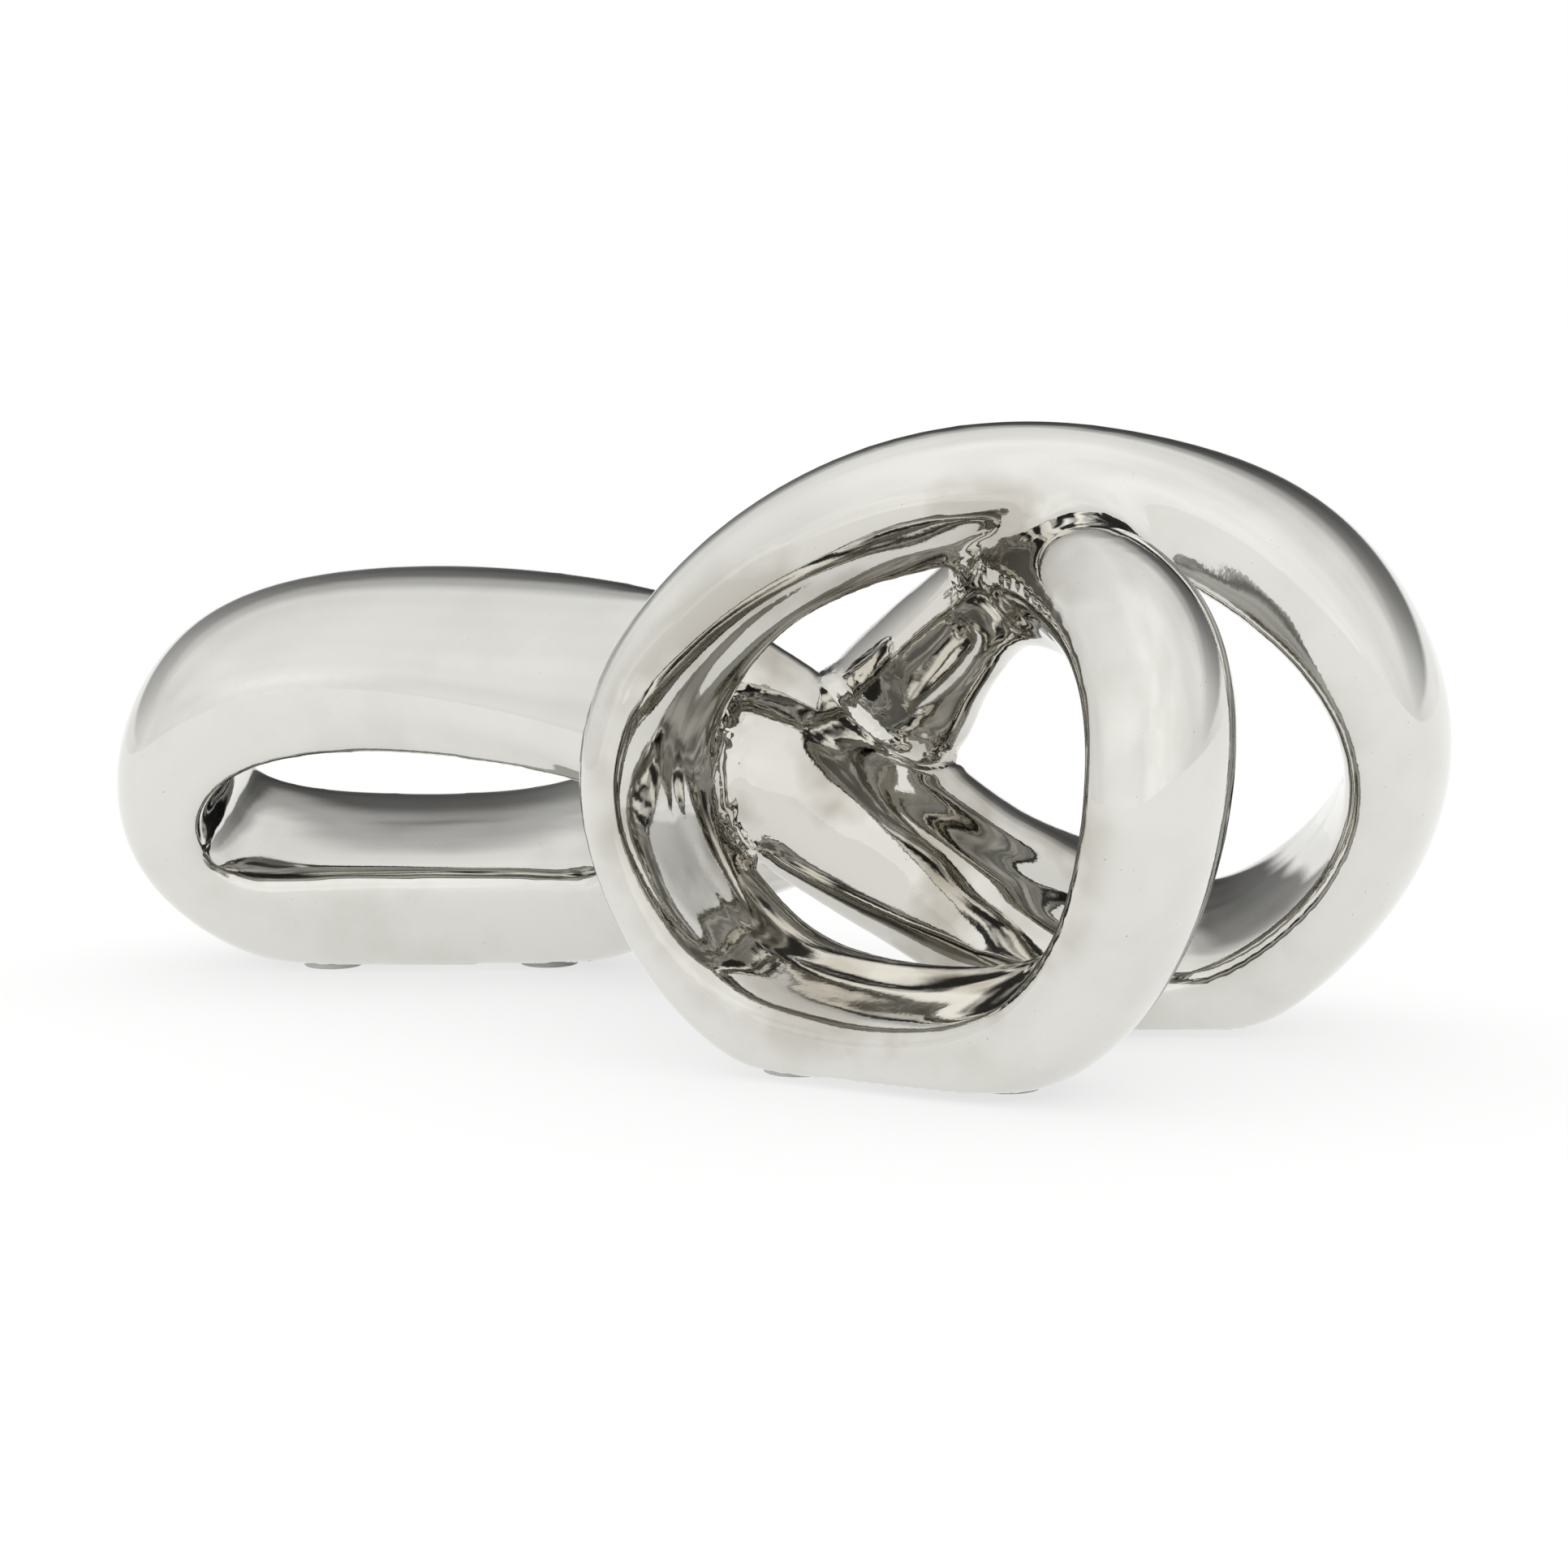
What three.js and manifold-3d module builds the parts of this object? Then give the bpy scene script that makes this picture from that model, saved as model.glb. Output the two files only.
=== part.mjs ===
// Three-loop ceramic infinity sculpture, slip-cast in sections and luted into one endless band.
// Millimetres, +Z up, front towards -Y, origin on the table under the middle of the outline.
import * as THREE from 'three';
import { mergeVertices } from 'three/addons/utils/BufferGeometryUtils.js';
import Module from 'manifold-3d';

const wasm = await Module();
wasm.setup();

// Adhesive bumper pads under the flats
const PAD_DIAMETER = 16;
const PAD_THICKNESS = 1.8;
const PAD_EDGE_ROUND = 0.6;
const PAD_SIDES = 32;
const PAD_EDGE_STEPS = 3;
const ADHESIVE = 0.3;

// Slip-cast shell
const WALL = 5;
const LUTE_GAP = 0.3;
const TABLE_TO_FLAT = PAD_THICKNESS + ADHESIVE;

// Vent through the front loop's flat, which lets the closed shell breathe in the kiln
const VENT_DIAMETER = 5;
const VENT_SIDES = 24;

// Shape of the band's section: the side that faces into a loop is flatter than the outer side
const OUTER_ROUNDNESS = 2;
const INNER_ROUNDNESS = 9;
const INNER_DEPTH = 0.88;

// How finely the band is faceted
const RINGS_PER_STATION = 4;
const SIDES_OUTSIDE = 20;
const SIDES_INSIDE = 12;

// A loop stands on its foot point, turned about the vertical by yaw and leant towards the front.
// inward tells on which side of the band the loop's opening lies: -1 or 1.
// Its flat runs sideways to both sides of the foot point, where footTilt levels the band against
// the lean. Its pads are set out from the foot point, sideways and towards the front.
const FRONT = {
  foot: [29, -54], yaw: -27, lean: 11, halfWidth: 70.5, height: 128, lift: 6, squareness: 2.1,
  halfThick: 12, halfWide: 24, inward: -1, flat: [-27, 27], footTilt: 0,
  pads: { front_pad_left: [-25, 8], front_pad_right: [25.8, 2] },
};
const LEFT = {
  foot: [-95, 98], yaw: 2.5, lean: 26, halfWidth: 69.5, height: 84, lift: 16.5, squareness: 2.5,
  halfThick: 17.5, halfWide: 30.5, inward: 1, flat: [-33, 33], footTilt: 11,
  pads: { left_pad_left: [-29, 11.6], left_pad_right: [30, 12] },
};
const RIGHT = {
  foot: [104, 13.5], yaw: -13, lean: 16.5, halfWidth: 55, height: 130, lift: 10.5, squareness: 1.7,
  halfThick: 11, halfWide: 29, inward: -1, flat: [-16, 11], footTilt: 0,
  pads: { right_pad_left: [-25, 5.7], right_pad_right: [4.6, 5.6] },
};

const radians = THREE.MathUtils.degToRad;

/** A number raised to a power, with its sign kept. */
function signedPower(value, exponent) {
  return Math.sign(value) * Math.abs(value) ** exponent;
}

/** The three directions of a loop: sideways, up its leaning plane, and out of its front. */
function loopAxes(loop) {
  const side = new THREE.Vector3(1, 0, 0).applyAxisAngle(new THREE.Vector3(0, 0, 1), radians(loop.yaw));
  const up = new THREE.Vector3(0, 0, 1).applyAxisAngle(side, radians(loop.lean));
  const front = side.clone().cross(up);
  return { side, up, front };
}

/** A point given in a loop's frame: sideways and up as shares of its size, behind it in millimetres. */
function pointInLoop(loop, sideShare, upShare, behind) {
  const { side, up, front } = loopAxes(loop);
  return new THREE.Vector3(loop.foot[0], loop.foot[1], loop.lift)
    .addScaledVector(side, sideShare * loop.halfWidth)
    .addScaledVector(up, upShare * loop.height)
    .addScaledVector(front, -behind);
}

/** A station on a loop's own squared ellipse, at an angle counted from its right-hand end. */
function onLoop(loop, angle, thickShare = 1, wideShare = 1) {
  const sideShare = signedPower(Math.cos(radians(angle)), 2 / loop.squareness);
  const upShare = (1 + signedPower(Math.sin(radians(angle)), 2 / loop.squareness)) / 2;
  return {
    at: pointInLoop(loop, sideShare, upShare, 0),
    across: loopAxes(loop).front,
    halfThick: loop.halfThick * thickShare,
    halfWide: loop.halfWide * wideShare,
    inward: loop.inward,
  };
}

/** A station on the lowest line of a loop, set sideways from its foot point. */
function onFoot(loop, sideways, thickShare = 1, wideShare = 1) {
  const { side, front } = loopAxes(loop);
  return {
    ...onLoop(loop, 270, thickShare, wideShare),
    at: pointInLoop(loop, sideways / loop.halfWidth, 0, 0),
    across: front.applyAxisAngle(side, -radians(loop.footTilt)),
  };
}

/** A station between loops, placed and turned in the frame of the loop that it belongs to. */
function nearLoop(loop, { sideShare, upShare, behind }, { turn, halfThick, halfWide, inward = 0 }) {
  const { side, up, front } = loopAxes(loop);
  const across = new THREE.Vector3()
    .addScaledVector(side, turn[0])
    .addScaledVector(up, turn[1])
    .addScaledVector(front, turn[2])
    .normalize();
  return { at: pointInLoop(loop, sideShare, upShare, behind), across, halfThick, halfWide, inward };
}

/** A station between loops that belongs to neither, given by its own point and direction. */
function nearPoint({ at, turn, halfThick, halfWide }) {
  const across = new THREE.Vector3(...turn).normalize();
  return { at: new THREE.Vector3(...at), across, halfThick, halfWide, inward: 0 };
}

// The endless band, once round: down and up the front loop, under the arch, back to the left loop,
// behind the front loop, across to the right loop and over the arch to the start.
const BAND = [
  onLoop(FRONT, 178, 0.5, 1.16),
  onLoop(FRONT, 220, 0.66, 1.05),
  onFoot(FRONT, FRONT.flat[0], 1.12),
  onFoot(FRONT, FRONT.flat[1], 1.12),
  onLoop(FRONT, 322),
  onLoop(FRONT, 2, 1.08, 1),
  nearLoop(FRONT, { sideShare: 0.84, upShare: 0.79, behind: 24 },
    { turn: [0.38, 0.29, 0.88], halfThick: 18, halfWide: 24.5, inward: -1 }),
  nearLoop(FRONT, { sideShare: 0.25, upShare: 0.83, behind: 51 },
    { turn: [0.07, 0.76, 0.64], halfThick: 11.5, halfWide: 14 }),
  nearLoop(FRONT, { sideShare: -0.13, upShare: 0.65, behind: 60 },
    { turn: [0.1, 0.99, 0.14], halfThick: 13.5, halfWide: 13.5 }),
  nearLoop(FRONT, { sideShare: -0.45, upShare: 0.47, behind: 71 },
    { turn: [0.38, 0.75, 0.53], halfThick: 15.5, halfWide: 19.5 }),
  nearLoop(LEFT, { sideShare: 1.42, upShare: 0.49, behind: -26 },
    { turn: [0.05, 0.57, 0.82], halfThick: 18.5, halfWide: 27.5 }),
  onLoop(LEFT, 325, 1, 1.06),
  onFoot(LEFT, LEFT.flat[1], 1.3),
  onFoot(LEFT, LEFT.flat[0], 1.3),
  nearLoop(LEFT, { sideShare: -0.9, upShare: 0.16, behind: 0 },
    { turn: [0, 0, 1], halfThick: 14, halfWide: 29, inward: 1 }),
  nearLoop(LEFT, { sideShare: -1.07, upShare: 0.47, behind: 0 },
    { turn: [-0.25, 0, 1], halfThick: 13.5, halfWide: 26, inward: 1 }),
  nearLoop(LEFT, { sideShare: -0.86, upShare: 0.89, behind: 0 },
    { turn: [-0.05, 0, 1], halfThick: 17.5, halfWide: 27, inward: 1 }),
  onLoop(LEFT, 95),
  nearLoop(LEFT, { sideShare: 0.63, upShare: 1.2, behind: -41 },
    { turn: [0.2, -0.1, 0.97], halfThick: 14, halfWide: 26, inward: 1 }),
  nearPoint({ at: [-20, -6, 79], turn: [0.25, -0.45, -0.85], halfThick: 13, halfWide: 26 }),
  nearPoint({ at: [2, -2, 66], turn: [0, -0.25, -0.95], halfThick: 13, halfWide: 25 }),
  nearPoint({ at: [30, 1, 47], turn: [-0.35, -0.45, -0.8], halfThick: 14, halfWide: 24 }),
  nearPoint({ at: [58, 6, 25], turn: [-0.35, -0.8, -0.5], halfThick: 16, halfWide: 27 }),
  onFoot(RIGHT, RIGHT.flat[0], 1.5, 1.08),
  onFoot(RIGHT, RIGHT.flat[1], 1.3),
  onLoop(RIGHT, 325, 1.08),
  onLoop(RIGHT, 0, 1.12, 0.94),
  onLoop(RIGHT, 40, 1.15, 0.94),
  nearLoop(RIGHT, { sideShare: 0.03, upShare: 1.03, behind: -8.5 },
    { turn: [-0.5, 0.24, 0.83], halfThick: 14.5, halfWide: 18, inward: -1 }),
  nearLoop(FRONT, { sideShare: -0.11, upShare: 1.01, behind: 32.5 },
    { turn: [-0.33, 0.62, 0.71], halfThick: 15.5, halfWide: 13, inward: -1 }),
  nearLoop(FRONT, { sideShare: -0.7, upShare: 0.82, behind: 8.5 },
    { turn: [-0.52, 0.15, 0.84], halfThick: 11, halfWide: 12.5, inward: -1 }),
];

// Where the cast sections are luted, counted in stations round the band
const LUTES = { frontTop: 6.4, rear: 9.6, leftTop: 19.1, cross: 22.4, arch: 28.6 };

/** Cubic B-spline weights of four neighbouring stations, and their slopes. */
function splineWeights(t) {
  const value = [
    (1 - t) ** 3 / 6,
    (3 * t ** 3 - 6 * t ** 2 + 4) / 6,
    (-3 * t ** 3 + 3 * t ** 2 + 3 * t + 1) / 6,
    t ** 3 / 6,
  ];
  const slope = [-((1 - t) ** 2) / 2, (3 * t ** 2 - 4 * t) / 2, (-3 * t ** 2 + 2 * t + 1) / 2, t ** 2 / 2];
  return { value, slope };
}

/** The band's centre, directions and section at a place counted in stations. */
function bandAt(place) {
  const first = Math.floor(place);
  const { value, slope } = splineWeights(place - first);
  const here = { at: new THREE.Vector3(), across: new THREE.Vector3(), halfThick: 0, halfWide: 0, inward: 0 };
  const along = new THREE.Vector3();
  for (let k = 0; k < 4; k += 1) {
    const station = BAND[(first + k - 1 + BAND.length) % BAND.length];
    here.at.addScaledVector(station.at, value[k]);
    along.addScaledVector(station.at, slope[k]);
    here.across.addScaledVector(station.across, value[k]);
    here.halfThick += value[k] * station.halfThick;
    here.halfWide += value[k] * station.halfWide;
    here.inward += value[k] * station.inward;
  }
  here.speed = along.length();
  along.normalize();
  here.across.addScaledVector(along, -here.across.dot(along)).normalize();
  here.outward = along.clone().cross(here.across);
  return here;
}

/** One ring of the band's section, grown or shrunk by an offset and kept above a floor height. */
function sectionRing(here, sides, offset, floor) {
  const ring = [];
  for (let k = 0; k < sides; k += 1) {
    const angle = (2 * Math.PI * (k + 0.5)) / sides;
    const cosine = Math.cos(angle);
    const flatness = Math.max(0, here.inward * Math.sign(cosine));
    const power = 2 / THREE.MathUtils.lerp(OUTER_ROUNDNESS, INNER_ROUNDNESS, flatness);
    const depth = here.halfThick * THREE.MathUtils.lerp(1, INNER_DEPTH, flatness) + offset;
    const point = here.at.clone()
      .addScaledVector(here.outward, signedPower(cosine, power) * depth)
      .addScaledVector(here.across, signedPower(Math.sin(angle), power) * (here.halfWide + offset));
    point.z = Math.max(point.z, floor);
    ring.push(point);
  }
  return ring;
}

/** A capped loft of the band between two places, as a solid for joining and cutting. */
function bandSolid(from, to, sides, offset = 0) {
  const rings = Math.max(2, Math.round((to - from) * RINGS_PER_STATION));
  const floor = TABLE_TO_FLAT - offset;
  const positions = [];
  for (let i = 0; i <= rings; i += 1) {
    const here = bandAt(THREE.MathUtils.lerp(from, to, i / rings));
    for (const point of sectionRing(here, sides, offset, floor)) positions.push(point.x, point.y, point.z);
  }
  const index = [];
  for (let i = 0; i < rings; i += 1) {
    for (let k = 0; k < sides; k += 1) {
      const a = i * sides + k;
      const b = i * sides + ((k + 1) % sides);
      index.push(a, a + sides, b, b, a + sides, b + sides);
    }
  }
  const last = rings * sides;
  for (let k = 1; k < sides - 1; k += 1) {
    index.push(0, k, k + 1);
    index.push(last, last + k + 1, last + k);
  }
  return new wasm.Manifold(new wasm.Mesh({
    numProp: 3,
    vertProperties: new Float32Array(positions),
    triVerts: new Uint32Array(index),
  }));
}

/** A cast section: the hollow band between two lutes, stopping short of each by half the gap. */
function castSection(from, to) {
  const start = from + LUTE_GAP / 2 / bandAt(from).speed;
  const end = to - LUTE_GAP / 2 / bandAt(to).speed;
  const beyond = WALL / bandAt(from).speed;
  const outside = bandSolid(start, end, SIDES_OUTSIDE);
  const inside = bandSolid(start - beyond, end + beyond, SIDES_INSIDE, -WALL);
  return { outside, inside };
}

/** The vent's bore, upright through the middle of a loop's flat, as a solid for cutting. */
function ventHole(loop) {
  const height = 2 * WALL;
  const geometry = new THREE.CylinderGeometry(VENT_DIAMETER / 2, VENT_DIAMETER / 2, height, VENT_SIDES)
    .rotateX(Math.PI / 2)
    .translate(loop.foot[0], loop.foot[1], TABLE_TO_FLAT - WALL / 2 + height / 2)
    .deleteAttribute('normal')
    .deleteAttribute('uv');
  const bore = mergeVertices(geometry);
  return new wasm.Manifold(new wasm.Mesh({
    numProp: 3,
    vertProperties: new Float32Array(bore.getAttribute('position').array),
    triVerts: new Uint32Array(bore.getIndex().array),
  }));
}

const silver = new THREE.MeshStandardMaterial({ color: 0xc9c8c4, roughness: 0.08, metalness: 1 });
const clearVinyl = new THREE.MeshStandardMaterial({ color: 0xe6e6e2, roughness: 0.45, metalness: 0 });

/** A named mesh made from a solid. */
function meshFrom(name, solid, material) {
  const { vertProperties, triVerts } = solid.getMesh();
  const geometry = new THREE.BufferGeometry();
  geometry.setAttribute('position', new THREE.BufferAttribute(new Float32Array(vertProperties), 3));
  geometry.setIndex([...triVerts]);
  geometry.computeVertexNormals();
  const mesh = new THREE.Mesh(geometry, material);
  mesh.name = name;
  return mesh;
}

/** The round bumper pad's solid, standing on the table, with a rounded lower edge. */
function padGeometry() {
  const radius = PAD_DIAMETER / 2;
  const profile = [new THREE.Vector2(0, 0)];
  for (let k = 0; k <= PAD_EDGE_STEPS; k += 1) {
    const angle = (Math.PI / 2) * (k / PAD_EDGE_STEPS);
    profile.push(new THREE.Vector2(
      radius - PAD_EDGE_ROUND * (1 - Math.sin(angle)),
      PAD_EDGE_ROUND * (1 - Math.cos(angle)),
    ));
  }
  profile.push(new THREE.Vector2(radius, PAD_THICKNESS), new THREE.Vector2(0, PAD_THICKNESS));
  return new THREE.LatheGeometry(profile, PAD_SIDES).rotateX(Math.PI / 2);
}

/** The place of a pad on the table, set out from its loop's foot point. */
function padPlace(loop, [sideways, forward]) {
  const { side } = loopAxes(loop);
  const ahead = side.clone().applyAxisAngle(new THREE.Vector3(0, 0, 1), -Math.PI / 2);
  return new THREE.Vector3(loop.foot[0], loop.foot[1], 0)
    .addScaledVector(side, sideways)
    .addScaledVector(ahead, forward);
}

const sculpture = new THREE.Group();
const once = BAND.length;
const sections = [
  ['right_loop', LUTES.cross, LUTES.arch],
  ['front_loop', LUTES.arch, LUTES.frontTop + once],
  ['cross_bridge', LUTES.leftTop, LUTES.cross],
  ['rear_bridge', LUTES.frontTop, LUTES.rear],
  ['left_loop', LUTES.rear, LUTES.leftTop],
];

// Where two sections meet, the one named first keeps its form and the other is fitted to it
let carried = null;
for (const [name, from, to] of sections) {
  const { outside, inside } = castSection(from, to);
  let solid = outside.subtract(inside);
  if (carried) solid = solid.subtract(carried);
  if (name === 'front_loop') solid = solid.subtract(ventHole(FRONT));
  sculpture.add(meshFrom(name, solid, silver));
  const clearance = bandSolid(from, to, SIDES_OUTSIDE, LUTE_GAP);
  carried = carried ? carried.add(clearance) : clearance;
}

for (const loop of [FRONT, LEFT, RIGHT]) {
  for (const [name, place] of Object.entries(loop.pads)) {
    const pad = new THREE.Mesh(padGeometry(), clearVinyl);
    pad.name = name;
    pad.position.copy(padPlace(loop, place));
    sculpture.add(pad);
  }
}

const outline = new THREE.Box3().setFromObject(sculpture);
const middle = outline.getCenter(new THREE.Vector3());
sculpture.position.set(-middle.x, -middle.y, 0);

export default sculpture;
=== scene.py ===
"""Ceramic infinity sculpture: one endless mirror-silver band on small round bumper pads.

Sizes are in millimetres in the classes and become metres where a mesh is made.
"""
import logging
import math
from collections.abc import Sequence
from dataclasses import dataclass, field
from enum import Enum

import bpy
import numpy as np
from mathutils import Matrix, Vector, noise
from mathutils.kdtree import KDTree


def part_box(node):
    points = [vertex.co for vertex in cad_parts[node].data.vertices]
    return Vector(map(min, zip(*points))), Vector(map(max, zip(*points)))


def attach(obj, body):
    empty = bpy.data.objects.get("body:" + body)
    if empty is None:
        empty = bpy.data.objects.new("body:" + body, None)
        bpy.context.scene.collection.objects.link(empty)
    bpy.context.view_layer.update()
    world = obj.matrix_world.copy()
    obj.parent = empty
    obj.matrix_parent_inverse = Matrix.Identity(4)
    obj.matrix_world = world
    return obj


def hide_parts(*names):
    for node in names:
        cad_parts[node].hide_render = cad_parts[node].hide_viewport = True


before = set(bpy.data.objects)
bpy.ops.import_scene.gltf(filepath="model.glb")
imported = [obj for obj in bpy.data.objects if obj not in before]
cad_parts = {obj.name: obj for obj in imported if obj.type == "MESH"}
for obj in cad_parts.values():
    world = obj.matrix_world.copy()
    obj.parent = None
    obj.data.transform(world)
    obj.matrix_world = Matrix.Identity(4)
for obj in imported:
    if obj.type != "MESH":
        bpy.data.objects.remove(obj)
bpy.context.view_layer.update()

MM = 0.001
PHOTO_SIDE = 1932

# Values that the ceramic's points hold for its material
# The hand work share also sets where the glaze paints shade
WORK_AND_SHADE = "hand_work_and_shade"
CRINKLE = "crinkle"

# Vertex groups of the ceramic
JOINT = "joint"
WALL = "wall"
FLUSH = "flush"
SWELL = "swell"
FLOW = "flow"

# How strongly the bridges between the loops were worked by hand
BRIDGE_WAVE = 0.5

# A colour in a node tree: a socket, or three numbers
Colour = bpy.types.NodeSocket | Sequence[float]
BLACK = (0.0, 0.0, 0.0)

log = logging.getLogger("infinity_sculpture")


class OpeningSide(Enum):
    """On which side of the band the opening of its loop lies, seen along the band."""

    RIGHT = -1
    NONE = 0
    LEFT = 1


def unit(vector: np.ndarray) -> np.ndarray:
    """Returns the vector at length one."""
    return vector / np.linalg.norm(vector)


def signed_power(value: float, exponent: float) -> float:
    """Returns the value raised to a power, with its sign kept."""
    return math.copysign(abs(value) ** exponent, value)


@dataclass(frozen=True)
class Station:
    """One place on the endless band: its centre, its width's direction and its section."""

    at: np.ndarray
    across: np.ndarray
    half_thick: float
    half_wide: float
    opening: OpeningSide = OpeningSide.NONE
    # How much hand work the clay had here, which also sets how much shade the glaze paints on the loop's
    # inner side
    wave_and_shade: float = BRIDGE_WAVE


@dataclass(frozen=True)
class Loop:
    """A standing loop: a squared ellipse on a foot point, turned by yaw and leant to the front."""

    foot: tuple[float, float]
    yaw: float
    lean: float
    half_width: float
    height: float
    lift: float
    squareness: float
    half_thick: float
    half_wide: float
    opening: OpeningSide
    flat: tuple[float, float]
    foot_tilt: float
    # How much hand work the clay had, which also sets how much shade the glaze paints on the loop's inner
    # side
    wave_and_shade: float

    def axes(self) -> tuple[np.ndarray, np.ndarray, np.ndarray]:
        """Finds the loop's own directions.

        Returns:
            The directions sideways, up its leaning plane and out of its front.
        """
        yaw, lean = math.radians(self.yaw), math.radians(self.lean)
        side = np.array([math.cos(yaw), math.sin(yaw), 0.0])
        level_front = np.array([math.sin(yaw), -math.cos(yaw), 0.0])
        up = level_front * math.sin(lean) + np.array([0.0, 0.0, math.cos(lean)])
        return side, up, np.cross(side, up)

    def point(self, side_share: float, up_share: float, back: float = 0.0) -> np.ndarray:
        """Places a point in the loop's frame.

        Args:
            side_share: distance sideways, as a share of the half width.
            up_share: distance up the plane, as a share of the height.
            back: distance behind the plane.

        Returns:
            The point in millimetres.
        """
        side, up, front = self.axes()
        start = np.array([*self.foot, self.lift])
        return start + side * side_share * self.half_width + up * up_share * self.height - front * back

    def station(self, at: np.ndarray, across: np.ndarray, thick: float, wide: float) -> Station:
        """Returns a station whose section is the loop's own, by a share of its thickness and width."""
        return Station(at, across, self.half_thick * thick, self.half_wide * wide, self.opening, self.wave_and_shade)

    def on_loop(self, angle: float, thick: float = 1.0, wide: float = 1.0) -> Station:
        """Makes a station on the squared ellipse.

        Args:
            angle: degrees from the loop's right-hand end.
            thick: share of the loop's thickness there.
            wide: share of the loop's width there.

        Returns:
            The station.
        """
        turn = math.radians(angle)
        power = 2 / self.squareness
        side_share = signed_power(math.cos(turn), power)
        up_share = (1 + signed_power(math.sin(turn), power)) / 2
        return self.station(self.point(side_share, up_share), self.axes()[2], thick, wide)

    def on_foot(self, sideways: float, thick: float = 1.0, wide: float = 1.0) -> Station:
        """Makes a station on the loop's lowest line, levelled there by the foot's tilt.

        Args:
            sideways: distance from the foot point.
            thick: share of the loop's thickness there.
            wide: share of the loop's width there.

        Returns:
            The station.
        """
        tilt = math.radians(self.foot_tilt)
        _, up, front = self.axes()
        across = front * math.cos(tilt) + up * math.sin(tilt)
        return self.station(self.point(sideways / self.half_width, 0.0), across, thick, wide)

    def near(self, place: tuple[float, float, float], turn: tuple[float, float, float],
             half_thick: float, half_wide: float, opening: OpeningSide = OpeningSide.NONE) -> Station:
        """Makes a station beside the loop, placed and turned in the loop's frame.

        Args:
            place: shares sideways and up, and the distance behind the plane.
            turn: the band's width direction as parts of side, up and front.
            half_thick: half the band's thickness.
            half_wide: half the band's width.
            opening: the side on which the section is flatter.

        Returns:
            The station.
        """
        side, up, front = self.axes()
        across = unit(side * turn[0] + up * turn[1] + front * turn[2])
        return Station(self.point(*place), across, half_thick, half_wide, opening, self.wave_and_shade)


def free_station(point: tuple[float, float, float], turn: tuple[float, float, float],
                 half_thick: float, half_wide: float) -> Station:
    """Returns a station that belongs to no loop, given by its own centre and width direction."""
    return Station(np.array(point, float), unit(np.array(turn, float)), half_thick, half_wide)


FRONT = Loop(
    foot=(29, -54), yaw=-27, lean=11, half_width=70.5, height=128, lift=6, squareness=2.1,
    half_thick=12, half_wide=24, opening=OpeningSide.RIGHT, flat=(-27, 27), foot_tilt=0, wave_and_shade=0.75,
)
LEFT = Loop(
    foot=(-95, 98), yaw=2.5, lean=26, half_width=69.5, height=84, lift=16.5, squareness=2.5,
    half_thick=17.5, half_wide=30.5, opening=OpeningSide.LEFT, flat=(-33, 33), foot_tilt=11, wave_and_shade=0.2,
)
RIGHT = Loop(
    foot=(104, 13.5), yaw=-13, lean=16.5, half_width=55, height=130, lift=10.5, squareness=1.7,
    half_thick=11, half_wide=29, opening=OpeningSide.RIGHT, flat=(-16, 11), foot_tilt=0, wave_and_shade=0.35,
)


@dataclass(frozen=True)
class Grain:
    """A noise: its cycles in a metre, its octaves, and the weight of the finer octaves."""

    scale: float
    detail: float
    roughness: float


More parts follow.
